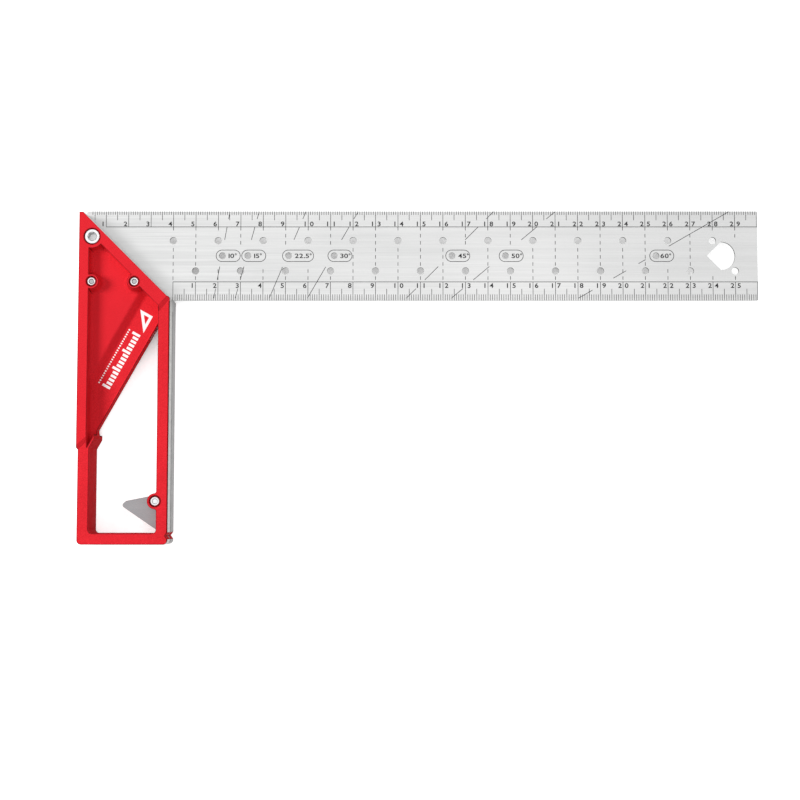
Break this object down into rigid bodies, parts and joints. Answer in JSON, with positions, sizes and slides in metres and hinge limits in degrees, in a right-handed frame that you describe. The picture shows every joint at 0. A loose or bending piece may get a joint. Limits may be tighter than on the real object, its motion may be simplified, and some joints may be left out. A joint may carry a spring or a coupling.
{
  "type": "try and mitre square",
  "caption": "Carpenter's try and mitre square: red cast stock with an open frame, graduated steel blade with pencil and angle holes, and a fold-out support ledge in the stock.",
  "frame": {"origin": "the square's inside corner, where the blade's inner edge meets the stock's inner face, at the middle of the thickness", "axes": "+X along the blade to its free end, +Y towards the blade's outer edge, +Z out of the front face as it lies flat"},
  "size_m": [0.3, 0.1478, 0.02],
  "materials": {
    "stock_casting": "cast aluminium with a fine red powder coat, bare where it is machined on the inner, outer and shoulder faces",
    "blade_steel": "stainless steel brushed along its length, dark etched graduations",
    "plated_steel": "bright plated steel, turned",
    "ledge_steel": "matt grey blasted steel",
    "washer_steel": "plain spring steel"
  },
  "bodies": {
    "stock": {"handle": "stock_casting", "blade": "blade_steel", "blade_screw": "plated_steel", "blade_screw_nut": "plated_steel", "blade_pins": "plated_steel", "ledge_pivot_pin": "plated_steel", "ledge_friction_washer": "washer_steel", "ledge_spring_washer": "washer_steel"},
    "ledge": {"support_ledge": "ledge_steel"}
  },
  "joints": [
    {"name": "ledge_hinge", "type": "hinge", "parent": "stock", "child": "ledge", "pos_m": [-0.0056, -0.089, 0], "axis": [0, 0, -1], "range_deg": [0, 90]}
  ]
}
